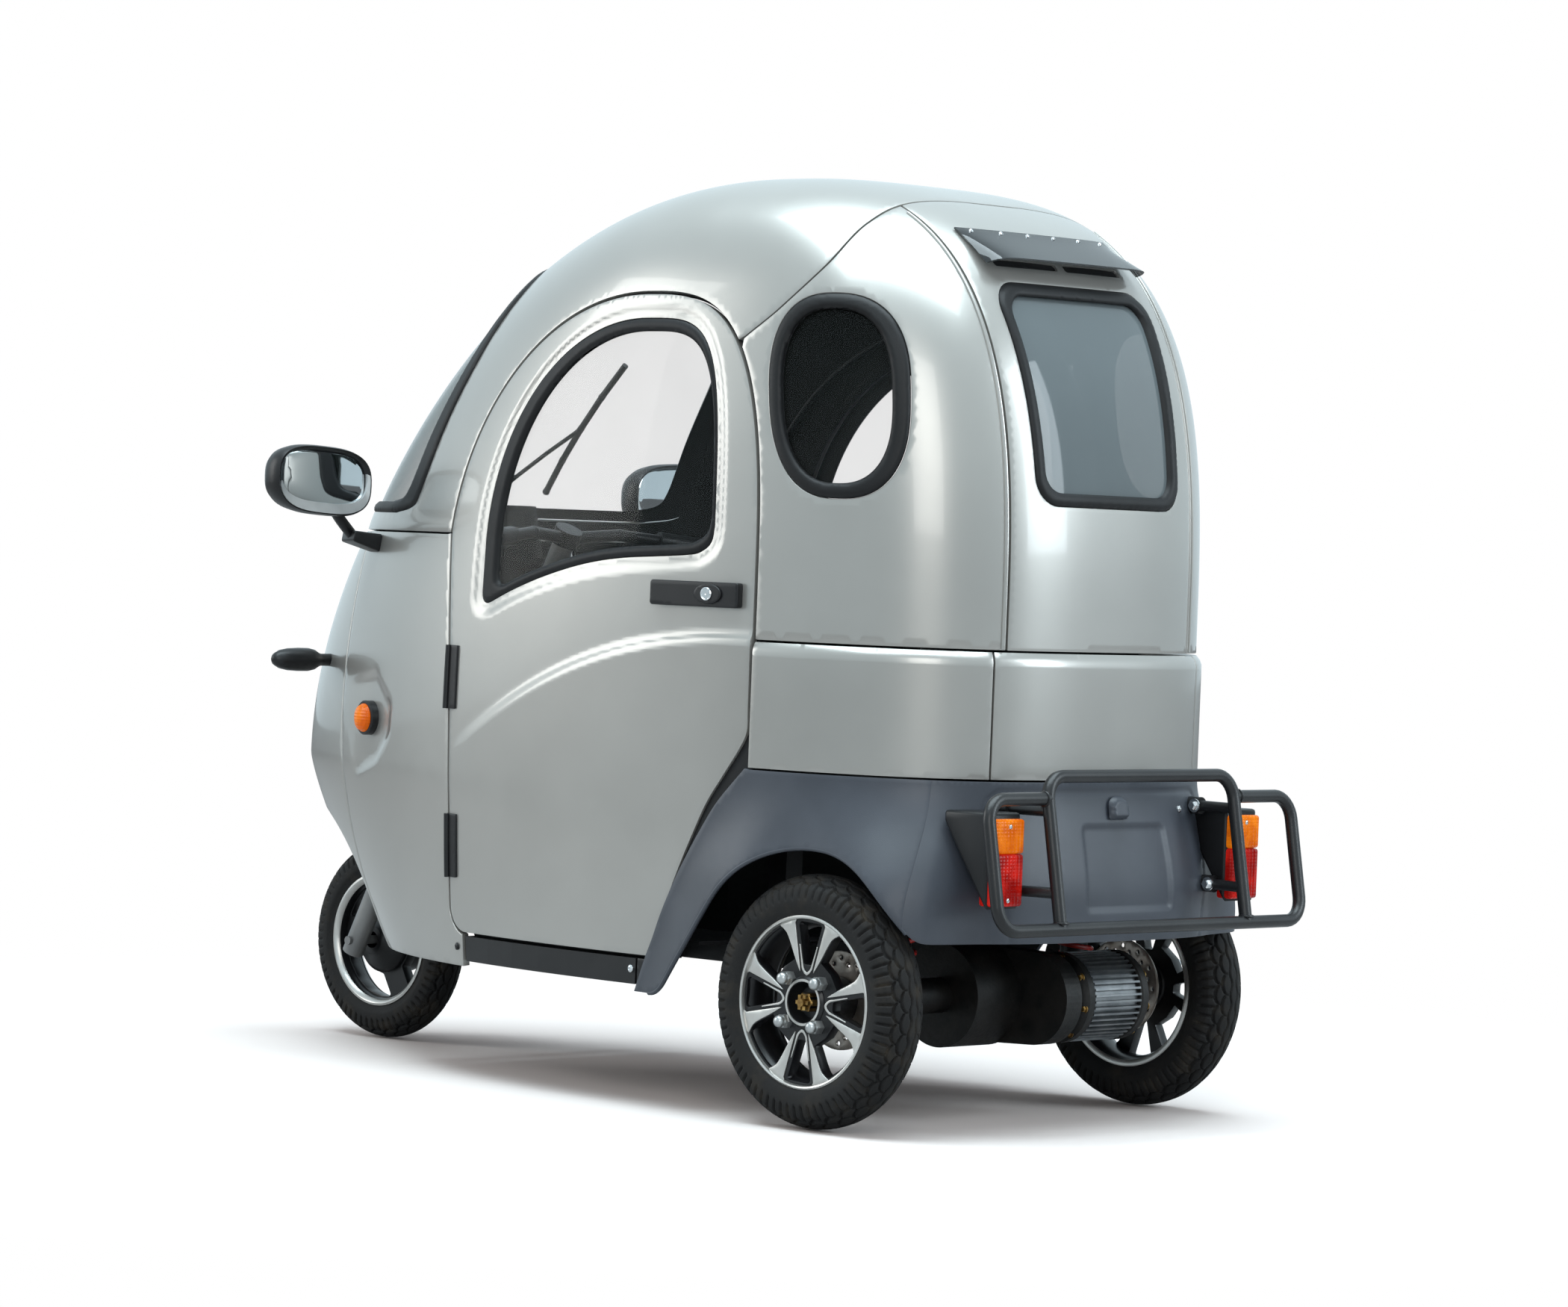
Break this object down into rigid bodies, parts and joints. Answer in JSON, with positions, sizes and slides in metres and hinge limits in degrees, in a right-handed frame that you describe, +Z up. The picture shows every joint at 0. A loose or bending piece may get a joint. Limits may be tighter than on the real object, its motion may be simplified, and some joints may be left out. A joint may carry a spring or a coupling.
{
  "type": "closed electric tricycle",
  "caption": "Small closed electric tricycle: rounded silver cabin with hinged doors, porthole windows, dark fenders, tube rack, alloy wheels and a steered front wheel.",
  "frame": {"origin": "middle of the bounding box on the ground", "axes": "+X forward, +Y to the rider's left, +Z up"},
  "size_m": [2.046, 1.108, 1.588],
  "materials": {
    "paint": "silver-grey metallic lacquer",
    "dark_plastic": "grained dark slate plastic",
    "dark_metal": "black powder coat",
    "glass": "clear",
    "seal": "matte black",
    "tyre": "dusty black",
    "alloy": "machined and black",
    "steel": "grey",
    "black_plastic": "satin black",
    "upholstery": "black leathercloth",
    "lamp": "amber and red lenses"
  },
  "bodies": {
    "cabin": {"chassis": "dark_metal", "battery_pack": "dark_metal", "roof_shell": "paint", "quarter_left": "paint", "quarter_right": "paint", "tail_panel": "paint", "band_left": "paint", "band_right": "paint", "band_tail": "paint", "nose_centre": "paint", "nose_left": "paint", "nose_right": "paint", "fender_left": "dark_plastic", "fender_right": "dark_plastic", "tail_valance": "dark_plastic", "sills": "dark_plastic", "windscreen": "glass", "screen_seal": "seal", "rear_panes": "glass", "rear_seals": "seal", "tail_visor": "black_plastic", "tail_lamps": "lamp", "rear_rack": "dark_metal", "front_signals": "lamp", "headlamp": "steel", "mirrors": "black_plastic", "wiper": "black_plastic", "dashboard": "black_plastic", "driver_seat": "upholstery", "rear_bench": "upholstery", "rear_axle": "dark_metal", "drive_motor": "alloy", "shocks": "steel"},
    "door_left": {"door_left": "paint", "door_left_pane": "glass"},
    "door_right": {"door_right": "paint", "door_right_pane": "glass"},
    "steering": {"fork": "steel", "handlebar": "black_plastic"},
    "front_wheel": {"front_tyre": "tyre", "front_rim": "alloy"},
    "rear_wheel_left": {"rear_tyre_left": "tyre", "rear_rim_left": "alloy"},
    "rear_wheel_right": {"rear_tyre_right": "tyre", "rear_rim_right": "alloy"}
  },
  "joints": [
    {"name": "steering_turn", "type": "hinge", "parent": "cabin", "child": "steering", "pos_m": [0.80771, 0, 0.16956], "axis": [-0.454, 0, 0.891], "range_deg": [-32, 32]},
    {"name": "front_wheel_spin", "type": "hinge", "parent": "steering", "child": "front_wheel", "pos_m": [0.838, 0, 0.185], "axis": [0, 1, 0], "continuous": true},
    {"name": "rear_wheel_left_spin", "type": "hinge", "parent": "cabin", "child": "rear_wheel_left", "pos_m": [-0.647, 0.416, 0.21], "axis": [0, 1, 0], "continuous": true},
    {"name": "rear_wheel_right_spin", "type": "hinge", "parent": "cabin", "child": "rear_wheel_right", "pos_m": [-0.647, -0.416, 0.21], "axis": [0, 1, 0], "continuous": true},
    {"name": "door_left_swing", "type": "hinge", "parent": "cabin", "child": "door_left", "pos_m": [0.269, 0.424, 0.555], "axis": [0, 0, -1], "range_deg": [0, 65]},
    {"name": "door_right_swing", "type": "hinge", "parent": "cabin", "child": "door_right", "pos_m": [0.269, -0.424, 0.555], "axis": [0, 0, 1], "range_deg": [0, 65]}
  ]
}
